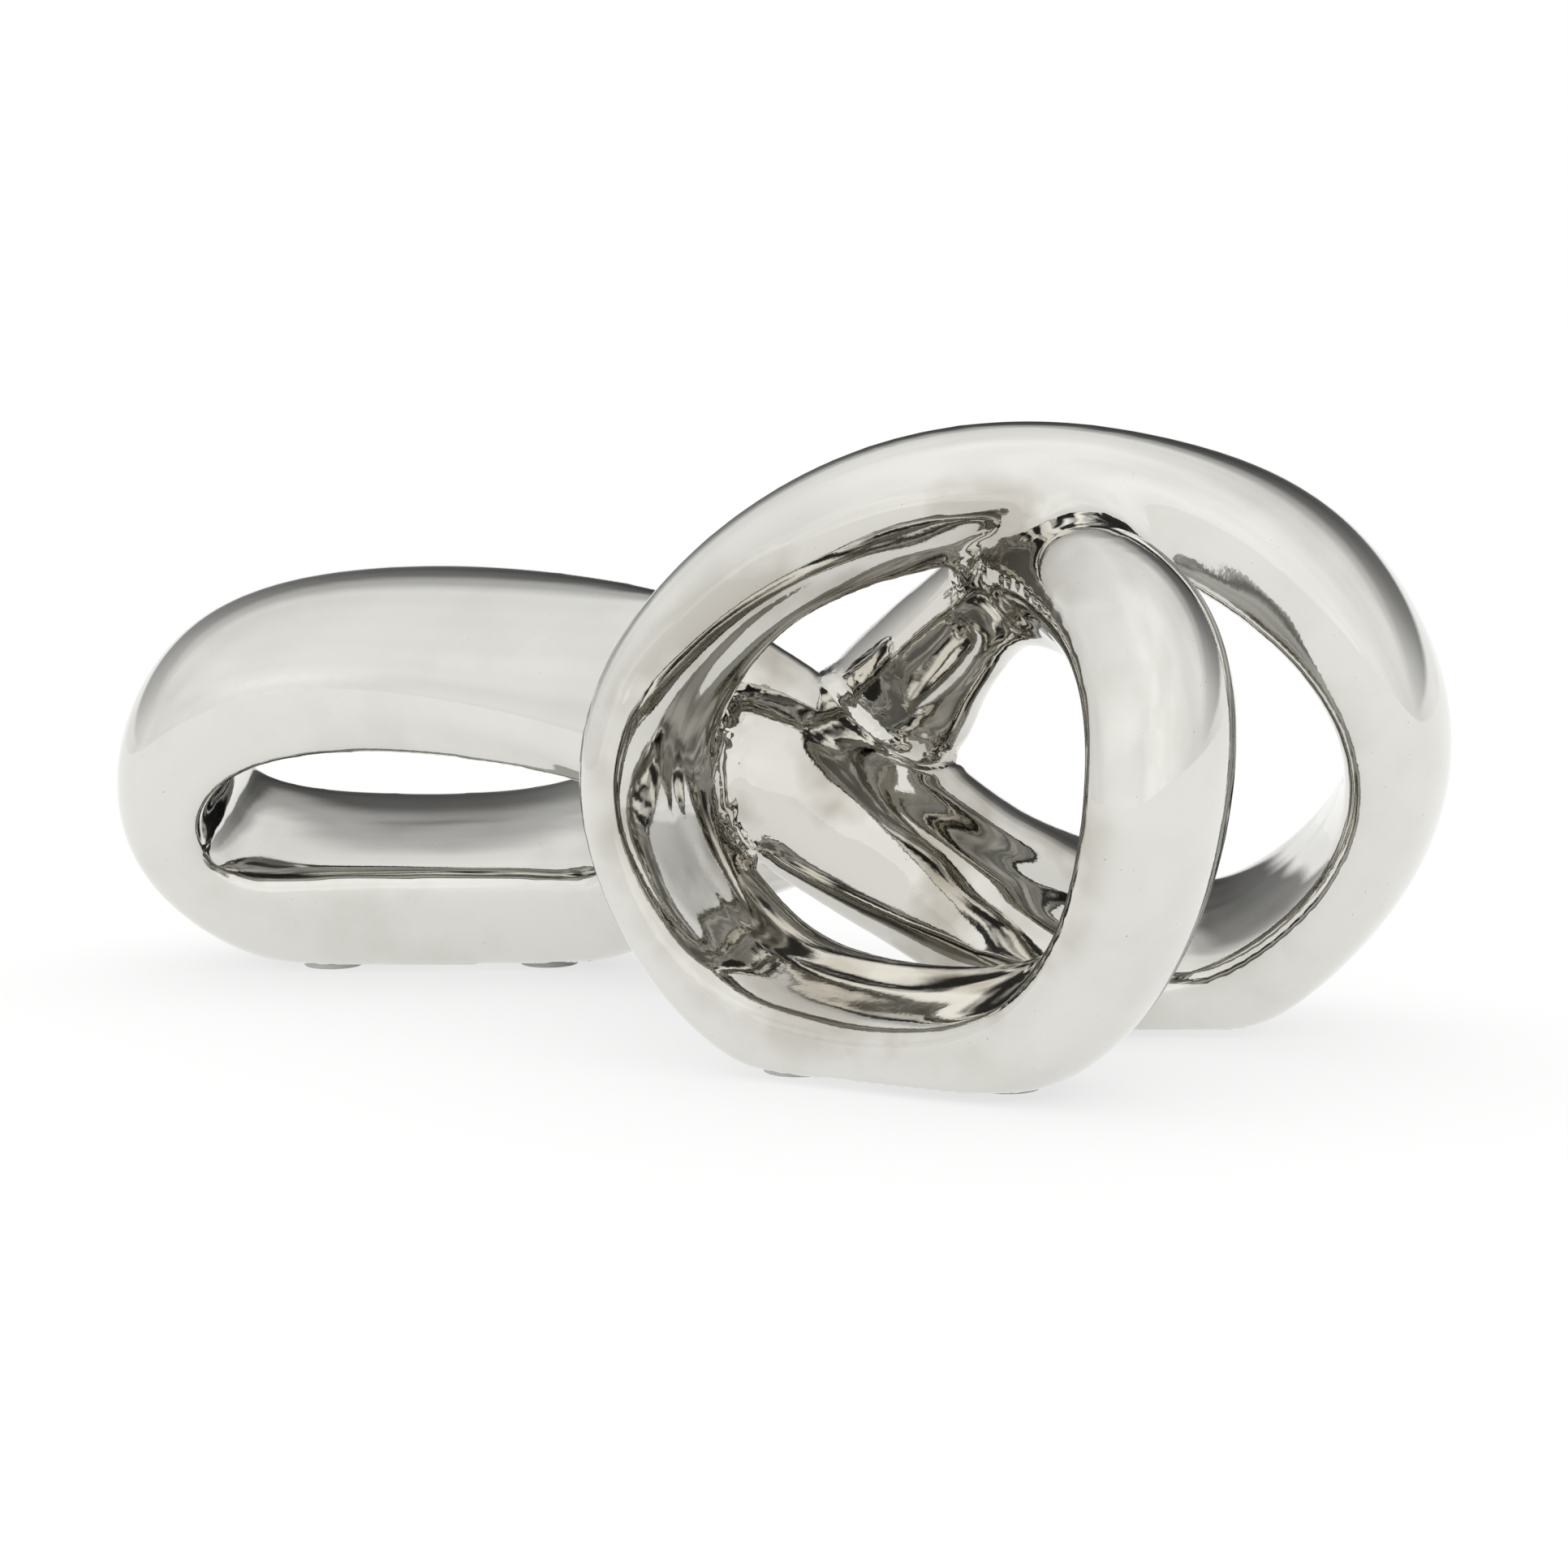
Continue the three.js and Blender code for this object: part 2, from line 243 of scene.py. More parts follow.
class NodeSheet:
    """A node tree with short methods for the nodes that the finishes and the room share."""

    def __init__(self, name: str, world: bool = False) -> None:
        """Starts an empty tree.

        Args:
            name: the name of the material or world.
            world: whether it is a world and not a material.
        """
        blocks = bpy.data.worlds if world else bpy.data.materials
        self.material = blocks.new(name)
        self.material.use_nodes = True
        self.tree = self.material.node_tree
        self.tree.nodes.clear()
        self.output = self.node("ShaderNodeOutputWorld" if world else "ShaderNodeOutputMaterial")

    def node(self, kind: str) -> bpy.types.Node:
        """Returns a new node of that kind."""
        return self.tree.nodes.new(kind)

    def link(self, start: bpy.types.NodeSocket, end: bpy.types.NodeSocket) -> None:
        """Joins two sockets."""
        self.tree.links.new(start, end)

    def object_place(self) -> bpy.types.NodeSocket:
        """Returns the coordinates on the object itself."""
        return self.node("ShaderNodeTexCoord").outputs["Object"]

    def noise(self, place: bpy.types.NodeSocket, grain: Grain) -> bpy.types.NodeSocket:
        """Adds a noise.

        Args:
            place: the coordinates where it is read.
            grain: how it is made.

        Returns:
            Its value, from 0 to 1.
        """
        made = self.node("ShaderNodeTexNoise")
        made.inputs["Scale"].default_value = grain.scale
        made.inputs["Detail"].default_value = grain.detail
        made.inputs["Roughness"].default_value = grain.roughness
        self.link(place, made.inputs["Vector"])
        return made.outputs["Fac"]

    def ramp(self, value: bpy.types.NodeSocket, stops: Sequence[float],
             colours: Sequence[Sequence[float]]) -> bpy.types.NodeSocket:
        """Adds a ramp between two colours.

        Args:
            value: where on the ramp the colour is read.
            stops: the places of the two colours.
            colours: the two colours.

        Returns:
            The colour at the value.
        """
        made = self.node("ShaderNodeValToRGB")
        for element, stop, colour in zip(made.color_ramp.elements, stops, colours):
            element.position = stop
            element.color = (*colour, 1.0)
        self.link(value, made.inputs["Fac"])
        return made.outputs["Color"]

    def mask(self, value: bpy.types.NodeSocket, stops: Sequence[float],
             top: float = 1.0) -> bpy.types.NodeSocket:
        """Returns a share that grows from 0 to its top while the value goes from stop to stop."""
        return self.ramp(value, stops, (BLACK, (top, top, top)))

    def mix_colour(self, share: bpy.types.NodeSocket, first: Colour, second: Colour) -> bpy.types.NodeSocket:
        """Mixes two colours, each a socket or three numbers.

        Args:
            share: how much of the second colour shows.
            first: the colour at a share of 0.
            second: the colour at a share of 1.

        Returns:
            The mixed colour.
        """
        made = self.node("ShaderNodeMix")
        made.data_type = "RGBA"
        self.link(share, made.inputs[0])
        for socket, value in ((made.inputs[6], first), (made.inputs[7], second)):
            if isinstance(value, bpy.types.NodeSocket):
                self.link(value, socket)
            else:
                socket.default_value = (*value, 1.0)
        return made.outputs[2]

    def mix_shader(self, share: bpy.types.NodeSocket, first: bpy.types.NodeSocket,
                   second: bpy.types.NodeSocket) -> bpy.types.NodeSocket:
        """Mixes two shaders.

        Args:
            share: how much of the second shader shows.
            first: the shader at a share of 0.
            second: the shader at a share of 1.

        Returns:
            The mixed shader.
        """
        made = self.node("ShaderNodeMixShader")
        for socket, value in zip(made.inputs, (share, first, second)):
            self.link(value, socket)
        return made.outputs[0]

    def spread(self, value: bpy.types.NodeSocket, low: float, high: float) -> bpy.types.NodeSocket:
        """Spreads a value of 0 to 1 between two limits.

        Args:
            value: the value.
            low: what 0 becomes.
            high: what 1 becomes.

        Returns:
            The spread value.
        """
        made = self.node("ShaderNodeMapRange")
        made.inputs["To Min"].default_value = low
        made.inputs["To Max"].default_value = high
        self.link(value, made.inputs["Value"])
        return made.outputs["Result"]

    def maths(self, operation: str, *values: bpy.types.NodeSocket | float) -> bpy.types.NodeSocket:
        """Works out an operation.

        Args:
            operation: Blender's name of the operation.
            *values: the sockets and numbers that it takes.

        Returns:
            The result.
        """
        made = self.node("ShaderNodeMath")
        made.operation = operation
        for socket, value in zip(made.inputs, values):
            if isinstance(value, bpy.types.NodeSocket):
                self.link(value, socket)
            else:
                socket.default_value = value
        return made.outputs[0]

    def add(self, first: bpy.types.NodeSocket, second: bpy.types.NodeSocket) -> bpy.types.NodeSocket:
        """Returns two values added."""
        return self.maths("ADD", first, second)

    def times(self, first: bpy.types.NodeSocket,
              second: bpy.types.NodeSocket | float) -> bpy.types.NodeSocket:
        """Returns two values multiplied."""
        return self.maths("MULTIPLY", first, second)

    def scale(self, colour: bpy.types.NodeSocket, value: bpy.types.NodeSocket) -> bpy.types.NodeSocket:
        """Makes a colour brighter or darker.

        Args:
            colour: the colour.
            value: what each of its parts is multiplied by.

        Returns:
            The new colour.
        """
        made = self.node("ShaderNodeVectorMath")
        made.operation = "SCALE"
        self.link(colour, made.inputs[0])
        self.link(value, made.inputs["Scale"])
        return made.outputs[0]

    def attribute(self, name: str) -> bpy.types.NodeSocket:
        """Returns a value that the mesh holds at its points."""
        made = self.node("ShaderNodeAttribute")
        made.attribute_name = name
        return made.outputs["Fac"]

    def bump(self, height: bpy.types.NodeSocket, distance: float,
             normal: bpy.types.NodeSocket | None = None) -> bpy.types.NodeSocket:
        """Bends the surface's normal by a height.

        Args:
            height: the height, from 0 to 1.
            distance: how high 1 is, in metres.
            normal: the normal that is bent, where it isn't the mesh's own.

        Returns:
            The bent normal.
        """
        made = self.node("ShaderNodeBump")
        made.inputs["Distance"].default_value = distance
        made.inputs["Strength"].default_value = 1.0
        self.link(height, made.inputs["Height"])
        if normal is not None:
            self.link(normal, made.inputs["Normal"])
        return made.outputs["Normal"]

    def principled(self, metallic: float, ior: float) -> bpy.types.Node:
        """Adds the surface shader and joins it to the output.

        Args:
            metallic: 1 for a metal and 0 for anything else.
            ior: the index of refraction.

        Returns:
            The shader's node.
        """
        made = self.node("ShaderNodeBsdfPrincipled")
        made.inputs["Metallic"].default_value = metallic
        made.inputs["IOR"].default_value = ior
        self.link(made.outputs["BSDF"], self.output.inputs["Surface"])
        return made


@dataclass(frozen=True)
class MirrorGlaze:
    """Metallic mirror glaze, fired over hand-smoothed ceramic."""

    name: str = "mirror_silver_glaze"
    slot: str = "silver_glaze"
    ior: float = 1.45

    # Colours: clean, clouded by haze, painted shade where the clay had hand work, painted dark reflections
    # there, and dust
    colour: tuple[float, float, float] = (0.745, 0.738, 0.70)
    clouded: tuple[float, float, float] = (0.69, 0.675, 0.625)
    # Painted shade: a darker glaze colour inside the loops and on the stretches under the arch and behind
    # the front loop
    worked_and_shaded: tuple[float, float, float] = (0.66, 0.645, 0.60)
    painted_dark_reflection: tuple[float, float, float] = (0.44, 0.41, 0.355)
    # Painted reflection: dark brownish patches standing in for dark reflections inside the loops
    stain: tuple[float, float, float] = (0.42, 0.38, 0.32)

    # Roughness: clean, clouded, and what specks and smudges add to it
    clean_rough: float = 0.04
    clouded_rough: float = 0.13
    speck_rough: float = 0.25
    smudge_rough: float = 0.12

    # Heights of the relief, in metres
    swell_height: float = 0.35 * MM
    ripple_height: float = 0.05 * MM
    crinkle_height: float = 0.3 * MM
    peel_height: float = 0.006 * MM

    swell_grain: Grain = Grain(34.0, 1.5, 0.4)
    ripple_grain: Grain = Grain(150.0, 1.0, 0.4)
    crinkle_grain: Grain = Grain(200.0, 1.0, 0.55)
    peel_grain: Grain = Grain(900.0, 2.0, 0.5)
    haze_grain: Grain = Grain(26.0, 5.0, 0.62)
    speck_grain: Grain = Grain(1500.0, 1.0, 0.4)
    # Painted reflection: the size of its dark patches
    painted_reflection_grain: Grain = Grain(38.0, 3.0, 0.5)
    smudge_grain: Grain = Grain(70.0, 4.0, 0.7)

    # From which value of its noise each of them starts to show, and from which it shows fully
    haze_stops: tuple[float, float] = (0.50, 0.78)
    speck_stops: tuple[float, float] = (0.79, 0.83)
    smudge_stops: tuple[float, float] = (0.70, 0.80)
    # Painted shade: the hand work shares where the darker colour starts and where it is full
    painted_shade_stops: tuple[float, float] = (0.15, 0.85)
    # Painted reflection: where its dark patches start and where they are full
    painted_reflection_stops: tuple[float, float] = (0.48, 0.62)
    smudge_share: float = 0.3
    # Painted reflection: how far its patches darken the glaze at most
    painted_reflection_share: float = 0.8

    def material(self) -> bpy.types.Material:
        """Builds the glaze's material, waved where the clay had hand work and darkened there by painted
        shade and painted dark reflections, with haze and dust.
        """
        made = NodeSheet(self.name)
        place = made.object_place()
        worked_and_shaded = made.attribute(WORK_AND_SHADE)
        clouded = made.mask(made.noise(place, self.haze_grain), self.haze_stops)
        speck = made.mask(made.noise(place, self.speck_grain), self.speck_stops)
        smudge = made.mask(made.noise(place, self.smudge_grain), self.smudge_stops)
        # Painted reflection: the noise that lays out its dark patches
        painted_reflection_patches = made.mask(made.noise(place, self.painted_reflection_grain), self.painted_reflection_stops, self.painted_reflection_share)

        colour = made.mix_colour(clouded, self.colour, self.clouded)
        # Painted shade: the glaze darkens inside the loops and on the stretches under the arch and behind
        # the front loop
        colour = made.mix_colour(made.mask(worked_and_shaded, self.painted_shade_stops), colour, self.worked_and_shaded)
        colour = made.mix_colour(made.spread(smudge, 0.0, self.smudge_share), colour, self.stain)
        colour = made.mix_colour(speck, colour, self.stain)
        # Painted reflection: dark patches inside the loops and on the stretches under the arch and behind
        # the front loop
        colour = made.mix_colour(made.times(painted_reflection_patches, worked_and_shaded), colour, self.painted_dark_reflection)
        rough = made.spread(clouded, self.clean_rough, self.clouded_rough)
        rough = made.add(rough, made.spread(speck, 0.0, self.speck_rough))
        rough = made.add(rough, made.spread(smudge, 0.0, self.smudge_rough))

        shader = made.principled(metallic=1.0, ior=self.ior)
        made.link(colour, shader.inputs["Base Color"])
        made.link(rough, shader.inputs["Roughness"])
        made.link(self.relief(made, place, worked_and_shaded), shader.inputs["Normal"])
        return made.material

    def relief(self, made: NodeSheet, place: bpy.types.NodeSocket,
               worked_and_shaded: bpy.types.NodeSocket) -> bpy.types.NodeSocket:
        """Bends the normal by the swells, ripples and crinkles of the clay and the glaze's fine skin.

        Args:
            made: the material's sheet.
            place: the coordinates on the ceramic.
            worked_and_shaded: how much hand work the clay had, the share that also sets the glaze's painted
                shade.

        Returns:
            The bent normal.
        """
        swell = made.times(made.noise(place, self.swell_grain), worked_and_shaded)
        ripple = made.times(made.noise(place, self.ripple_grain), worked_and_shaded)
        crinkle = made.times(made.noise(place, self.crinkle_grain), made.attribute(CRINKLE))
        normal = made.bump(swell, self.swell_height)
        normal = made.bump(ripple, self.ripple_height, normal)
        normal = made.bump(crinkle, self.crinkle_height, normal)
        return made.bump(made.noise(place, self.peel_grain), self.peel_height, normal)


@dataclass(frozen=True)
class PadVinyl:
    """Soft translucent vinyl of the bumper pads."""

    name: str = "pad_vinyl"
    slot: str = "pad_vinyl"
    ior: float = 1.5
    colour: tuple[float, float, float] = (0.88, 0.88, 0.86)
    mottled: float = 0.9
    mottle_grain: Grain = Grain(260.0, 3.0, 0.5)
    roughness: tuple[float, float] = (0.36, 0.50)
    skin_grain: Grain = Grain(2200.0, 1.0, 0.5)
    skin_height: float = 0.004 * MM
    depth_share: float = 0.25
    depth: tuple[float, float, float] = (2.0 * MM, 2.0 * MM, 1.8 * MM)

    def material(self) -> bpy.types.Material:
        """Builds the vinyl's material with a faint mottle and a satin skin."""
        made = NodeSheet(self.name)
        place = made.object_place()
        mottle = made.noise(place, self.mottle_grain)
        skin = made.noise(place, self.skin_grain)
        shader = made.principled(metallic=0.0, ior=self.ior)
        shader.inputs["Subsurface Weight"].default_value = self.depth_share
        shader.inputs["Subsurface Radius"].default_value = self.depth
        colour = made.mix_colour(mottle, self.colour, [part * self.mottled for part in self.colour])
        made.link(colour, shader.inputs["Base Color"])
        made.link(made.spread(mottle, *self.roughness), shader.inputs["Roughness"])
        made.link(made.bump(skin, self.skin_height), shader.inputs["Normal"])
        return made.material


@dataclass(frozen=True)
class AdhesiveFilm:
    """Clear double-sided film between a pad and the glazed flat."""

    name: str = "adhesive_film"
    slot: str = "pad_vinyl"
    ior: float = 1.47
    colour: tuple[float, float, float] = (0.72, 0.71, 0.66)
    milky: tuple[float, float, float] = (0.8, 0.8, 0.77)
    bubble_grain: Grain = Grain(500.0, 2.0, 0.6)
    roughness: tuple[float, float] = (0.3, 0.5)

    def material(self) -> bpy.types.Material:
        """Builds the film's material with faint trapped-air mottling."""
        made = NodeSheet(self.name)
        bubbles = made.noise(made.object_place(), self.bubble_grain)
        shader = made.principled(metallic=0.0, ior=self.ior)
        made.link(made.mix_colour(bubbles, self.colour, self.milky), shader.inputs["Base Color"])
        made.link(made.spread(bubbles, *self.roughness), shader.inputs["Roughness"])
        return made.material


def deselect_all() -> None:
    """Leaves nothing selected."""
    bpy.ops.object.select_all(action="DESELECT")


def select_only(piece: bpy.types.Object) -> None:
    """Selects one object alone and makes it the active one."""
    deselect_all()
    piece.select_set(True)
    bpy.context.view_layer.objects.active = piece


def apply_modifier(piece: bpy.types.Object, name: str, kind: str, **settings: object) -> None:
    """Adds a modifier with its settings and applies it at once.

    Args:
        piece: the object, which is made the active one.
        name: the modifier's name.
        kind: Blender's modifier type.
        **settings: values for the modifier's properties.
    """
    select_only(piece)
    modifier = piece.modifiers.new(name, kind)
    for key, value in settings.items():
        setattr(modifier, key, value)
    bpy.ops.object.modifier_apply(modifier=modifier.name)


def smooth(piece: bpy.types.Object, name: str, rounds: int, group: str = "") -> None:
    """Smooths the mesh some rounds over, where a vertex group says so or everywhere."""
    apply_modifier(piece, name, "SMOOTH", factor=0.5, iterations=rounds, vertex_group=group)


def coordinates(piece: bpy.types.Object) -> np.ndarray:
    """Returns the mesh's points as rows, in metres."""
    points = np.empty(len(piece.data.vertices) * 3)
    piece.data.vertices.foreach_get("co", points)
    return points.reshape(-1, 3)


def set_coordinates(piece: bpy.types.Object, points: np.ndarray) -> None:
    """Writes the mesh's points back, in metres."""
    piece.data.vertices.foreach_set("co", points.reshape(-1))
    piece.data.update()


def edge_ends(piece: bpy.types.Object) -> tuple[np.ndarray, np.ndarray]:
    """Returns the first and the second point of every edge."""
    edges = np.empty(len(piece.data.edges) * 2, int)
    piece.data.edges.foreach_get("vertices", edges)
    one, two = edges.reshape(-1, 2).T
    return one, two


def eased(piece: bpy.types.Object, values: np.ndarray, rounds: int) -> np.ndarray:
    """Averages point values with their neighbours' along the edges.

    Args:
        piece: the mesh.
        values: one value, or one row of values, for each point.
        rounds: how many times it is done.

    Returns:
        The averaged values, in the same form.
    """
    one, two = edge_ends(piece)
    count = len(piece.data.vertices)
    neighbours = np.maximum(np.bincount(one, minlength=count) + np.bincount(two, minlength=count), 1)
    columns = values.reshape(count, -1)
    for _ in range(rounds):
        around = [np.bincount(one, c[two], count) + np.bincount(two, c[one], count) for c in columns.T]
        columns = (columns + np.array(around).T / neighbours[:, None]) / 2
    return columns.reshape(values.shape)


def write_group(piece: bpy.types.Object, name: str, weights: np.ndarray) -> None:
    """Writes weights into a new vertex group.

    Args:
        piece: the mesh.
        name: the group's name.
        weights: one weight for each of the mesh's points.
    """
    group = piece.vertex_groups.new(name=name)
    for index, weight in enumerate(weights):
        group.add((index,), float(weight), "REPLACE")


def remove(piece: bpy.types.Object) -> None:
    """Deletes a helper object."""
    select_only(piece)
    bpy.ops.object.delete()


def spline_weights(t: np.ndarray) -> tuple[np.ndarray, np.ndarray]:
    """Weighs four neighbouring stations by a uniform cubic B-spline.

    Args:
        t: how far each ring lies from its second station to its third, as a column.

    Returns:
        The weights of the four stations, and the weights that give the curve's slope.
    """
    value = np.hstack([
        (1 - t) ** 3,
        3 * t ** 3 - 6 * t ** 2 + 4,
        -3 * t ** 3 + 3 * t ** 2 + 3 * t + 1,
        t ** 3,
    ]) / 6
    slope = np.hstack([-(1 - t) ** 2, 3 * t ** 2 - 4 * t, -3 * t ** 2 + 2 * t + 1, t ** 2]) / 2
    return value, slope


@dataclass(frozen=True)
class Touch:
    """A round place on the clay that the fingers worked, given by its middle and its radius."""

    at: tuple[float, float, float]
    radius: float

    def share(self, points: np.ndarray, shift: tuple[float, float], gain: float) -> np.ndarray:
        """Tells how strongly the touch is felt at each point.

        Args:
            points: the mesh's points in metres.
            shift: how far the sculpture was moved to its middle.
            gain: how quickly the touch reaches its full strength from its rim inwards.

        Returns:
            A share from 0 to 1 for each point.
        """
        centre = (np.array(self.at) + (*shift, 0.0)) * MM
        reach = 1 - np.linalg.norm(points - centre, axis=1) / (self.radius * MM)
        return np.clip(reach * gain, 0.0, 1.0)


@dataclass
class CeramicBand:
    """The ceramic: an endless band through three loops, luted together where its strands meet."""

    nodes: tuple[str, ...] = ("right_loop", "front_loop", "cross_bridge", "rear_bridge", "left_loop")
    glaze: MirrorGlaze = field(default_factory=MirrorGlaze)

    # Where the band stands: its move to the middle of its outline, and its flats over the table
    shift: tuple[float, float] = (7.792, -6.879)
    table_to_flat: float = 2.1

    # The section: round outside, and inside flattened, crowned, and evened between the two
    outer_roundness: float = 2.0
    inner_roundness: float = 9.0
    inner_depth: float = 0.88
    inner_crown: float = 2.2
    evenness: float = 0.6

    # How finely the band is laid and merged
    rings: int = 248
    sides: int = 96
    voxel: float = 1.6
    step_easing: int = 2

    # The luted joints: how sharp a crease counts, how wide its filling is and how often it is eased
    crease_radius: float = 9.0
    joint_width: float = 4.5
    joint_easing: int = 6
    joint_filling: int = 20
    flush_width: float = 11.0
    flush_filling: int = 160
    flush_gain: float = 2.0
    flushes: tuple[Touch, ...] = (
        Touch((62, -70, 122), 24),
        Touch((85, -84, 118), 22),
    )
    wiping: int = 12

    # Where the clay had hand work, which also sets where the glaze paints shade: inside the loops, and on
    # two stretches of the band
    inner_facing: float = 0.15
    outer_wave_and_shade: float = 0.1
    under_arch: tuple[float, float] = (6.4, 10.4)
    behind_front: tuple[float, float] = (19.0, 23.2)
    blend: float = 0.7
    blended_points: int = 6
    mark_easing: int = 12
    pinch_gain: float = 1.6
    pinches: tuple[Touch, ...] = (
        Touch((49, -54, 119), 9),
        Touch((25, -10, 88), 5),
        Touch((31, -8, 78), 6),
        Touch((-10, -11, 87), 5),
        Touch((-6, -17, 47), 5),
    )

    # Flow lines along the band, which the sponge leaves, and wide swells
    flow: float = 1.1
    flow_cycles: tuple[float, float, float] = (22.0, 22.0, 95.0)
    flow_fade: float = 1.5
    flow_middle: float = 0.5
    swell: float = 0.9
    swell_length: float = 30.0
    swell_middle: float = 0.6

    # The vent in the front loop's flat, and how far over the flats the clay is pressed down
    vent_diameter: float = 5.0
    vent_depth: float = 5.0
    vent_sides: int = 48
    pressing: float = 0.35

    def stations(self) -> list[Station]:
        """Returns the band's stations in order, once round."""
        return [
            FRONT.on_loop(178, 0.5, 1.16),
            FRONT.on_loop(220, 0.66, 1.05),
            FRONT.on_foot(FRONT.flat[0], 1.12),
            FRONT.on_foot(FRONT.flat[1], 1.12),
            FRONT.on_loop(322),
            FRONT.on_loop(2, 1.08, 1),
            FRONT.near((0.84, 0.79, 24), (0.38, 0.29, 0.88), 18, 24.5, OpeningSide.RIGHT),
            FRONT.near((0.25, 0.83, 51), (0.07, 0.76, 0.64), 11.5, 14),
            FRONT.near((-0.13, 0.65, 60), (0.1, 0.99, 0.14), 13.5, 13.5),
            FRONT.near((-0.45, 0.47, 71), (0.38, 0.75, 0.53), 15.5, 19.5),
            LEFT.near((1.42, 0.49, -26), (0.05, 0.57, 0.82), 18.5, 27.5),
            LEFT.on_loop(325, 1, 1.06),
            LEFT.on_foot(LEFT.flat[1], 1.3),
            LEFT.on_foot(LEFT.flat[0], 1.3),
            LEFT.near((-0.9, 0.16, 0), (0, 0, 1), 14, 29, OpeningSide.LEFT),
            LEFT.near((-1.07, 0.47, 0), (-0.25, 0, 1), 13.5, 26, OpeningSide.LEFT),
            LEFT.near((-0.86, 0.89, 0), (-0.05, 0, 1), 17.5, 27, OpeningSide.LEFT),
            LEFT.on_loop(95),
            LEFT.near((0.63, 1.2, -41), (0.2, -0.1, 0.97), 14, 26, OpeningSide.LEFT),
            free_station((-20, -6, 79), (0.25, -0.45, -0.85), 13, 26),
            free_station((2, -2, 66), (0, -0.25, -0.95), 13, 25),
            free_station((30, 1, 47), (-0.35, -0.45, -0.8), 14, 24),
            free_station((58, 6, 25), (-0.35, -0.8, -0.5), 16, 27),
            RIGHT.on_foot(RIGHT.flat[0], 1.5, 1.08),
            RIGHT.on_foot(RIGHT.flat[1], 1.3),
            RIGHT.on_loop(325, 1.08),
            RIGHT.on_loop(0, 1.12, 0.94),
            RIGHT.on_loop(40, 1.15, 0.94),
            RIGHT.near((0.03, 1.03, -8.5), (-0.5, 0.24, 0.83), 14.5, 18, OpeningSide.RIGHT),
            FRONT.near((-0.11, 1.01, 32.5), (-0.33, 0.62, 0.71), 15.5, 13, OpeningSide.RIGHT),
            FRONT.near((-0.7, 0.82, 8.5), (-0.52, 0.15, 0.84), 11, 12.5, OpeningSide.RIGHT),
        ]

    def ring_points(self) -> np.ndarray:
        """Returns the surface's points, ring after ring along the band, in metres."""
        stations = self.stations()
        count = len(stations)
        place = np.arange(self.rings) * count / self.rings
        first = np.floor(place).astype(int)
        value, slope = spline_weights((place - first)[:, None])
        turn = (first[:, None] + np.arange(-1, 3)) % count

        def blended(values: list, weights: np.ndarray = value) -> np.ndarray:
            """Returns station values blended along the band."""
            return np.einsum("rk,rk...->r...", weights, np.array(values)[turn])

        centre = blended([s.at for s in stations])
        along = blended([s.at for s in stations], slope)
        along /= np.linalg.norm(along, axis=1, keepdims=True)
        across = blended([s.across for s in stations])
        across -= along * np.sum(across * along, axis=1, keepdims=True)
        across /= np.linalg.norm(across, axis=1, keepdims=True)
        outward = np.cross(along, across)
        sizes = blended([(s.half_thick, s.half_wide, s.opening.value) for s in stations])
        off, over = self.section(*sizes.T[..., None])
        points = centre[:, None] + outward[:, None] * off[..., None] + across[:, None] * over[..., None]
        points[..., 2] = np.maximum(points[..., 2], self.table_to_flat)
        points += np.array([*self.shift, 0.0])
        return points.reshape(-1, 3) * MM

    def side_angles(self) -> np.ndarray:
        """Returns the angle of each point of a ring, counted from the outward direction."""
        return 2 * np.pi * (np.arange(self.sides) + 0.5) / self.sides

    def section(self, thick: np.ndarray, wide: np.ndarray,
                inward: np.ndarray) -> tuple[np.ndarray, np.ndarray]:
        """Draws the band's section at every ring.

        Args:
            thick: half the thickness at each ring, as a column.
            wide: half the width at each ring, as a column.
            inward: on which side the opening lies at each ring, as a column from -1 to 1.

        Returns:
            How far each point lies outwards, and how far over to the side.
        """
        angle = self.side_angles()[None, :]
        cosine, sine = np.cos(angle), np.sin(angle)
        flatness = np.maximum(0.0, inward * np.sign(cosine))
        power = 2 / (self.outer_roundness + (self.inner_roundness - self.outer_roundness) * flatness)
        depth = thick * (1 + (self.inner_depth - 1) * flatness)
        evened = self.evenness * flatness
        share = (1 - evened) * np.abs(sine) ** power + evened * np.abs(sine)
        off = (1 - share ** (2 / power)) ** (power / 2) * depth
        off += self.inner_crown * flatness * (1 - share ** 2)
        return np.sign(cosine) * off, np.sign(sine) * share * wide

    def build(self) -> bpy.types.Object:
        """Lays a ring primitive along the band, lutes its strands together and works their joints.

        Returns:
            The finished ceramic, riding on the root body.
        """
        deselect_all()
        bpy.ops.mesh.primitive_torus_add(major_segments=self.rings, minor_segments=self.sides)
        piece = bpy.context.active_object
        piece.name = piece.data.name = "ceramic_band"
        laid = self.ring_points()
        set_coordinates(piece, laid)
        bpy.ops.object.mode_set(mode="EDIT")
        bpy.ops.mesh.select_all(action="SELECT")
        bpy.ops.mesh.normals_make_consistent(inside=False)
        bpy.ops.object.mode_set(mode="OBJECT")
        apply_modifier(piece, "even_out", "SUBSURF", levels=1, render_levels=1)
        bpy.ops.object.duplicate()
        skin = bpy.context.active_object
        self.lute(piece, skin)
        remove(skin)
        self.mark_work(piece, laid)
        self.swell_walls(piece)
        self.settle(piece)
        self.vent(piece)
        select_only(piece)
        bpy.ops.object.shade_smooth()
        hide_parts(*self.nodes)
        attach(piece, "root")
        return piece

